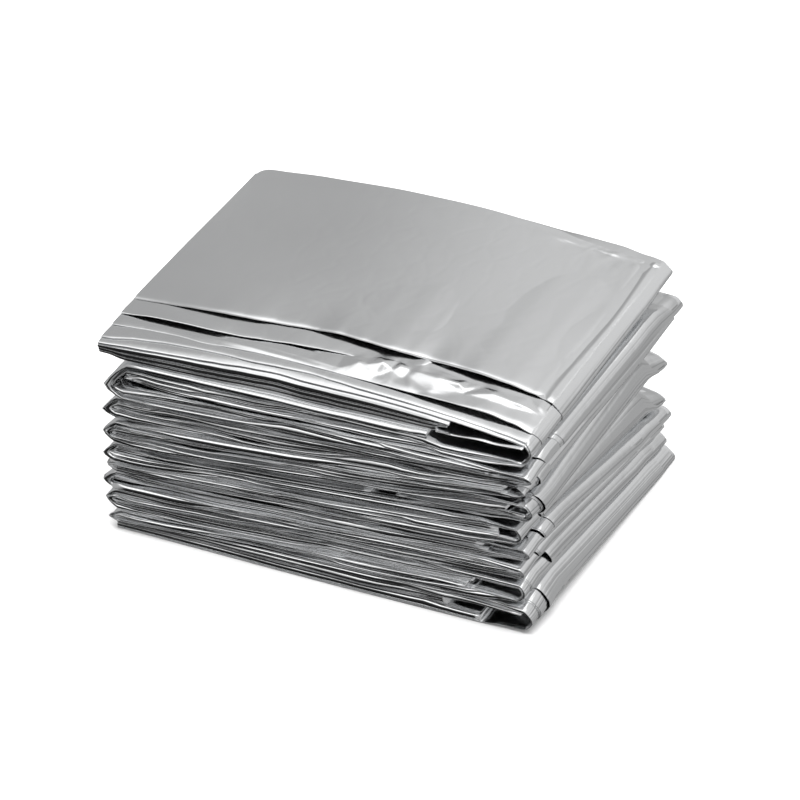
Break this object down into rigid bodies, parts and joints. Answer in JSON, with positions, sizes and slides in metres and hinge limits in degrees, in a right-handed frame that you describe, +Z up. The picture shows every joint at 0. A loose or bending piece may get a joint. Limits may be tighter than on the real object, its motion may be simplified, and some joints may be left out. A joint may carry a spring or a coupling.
{
  "type": "folded emergency foil blanket",
  "caption": "Emergency foil blanket of thin metallised film, folded back and forth into a thick soft rectangular pack with layered front edges and rounded side folds.",
  "frame": {"origin": "on the surface the pack stands on, under the middle of its overall box", "axes": "+X along the folded panels towards their rounded right hand folds, -Y to the layered front edges, +Z up"},
  "size_m": [0.1196, 0.0931, 0.0592],
  "materials": {
    "foil": "bright vapour-coated polyester film, creased"
  },
  "bodies": {
    "root": {"foil_blanket": "foil"}
  },
  "joints": []
}
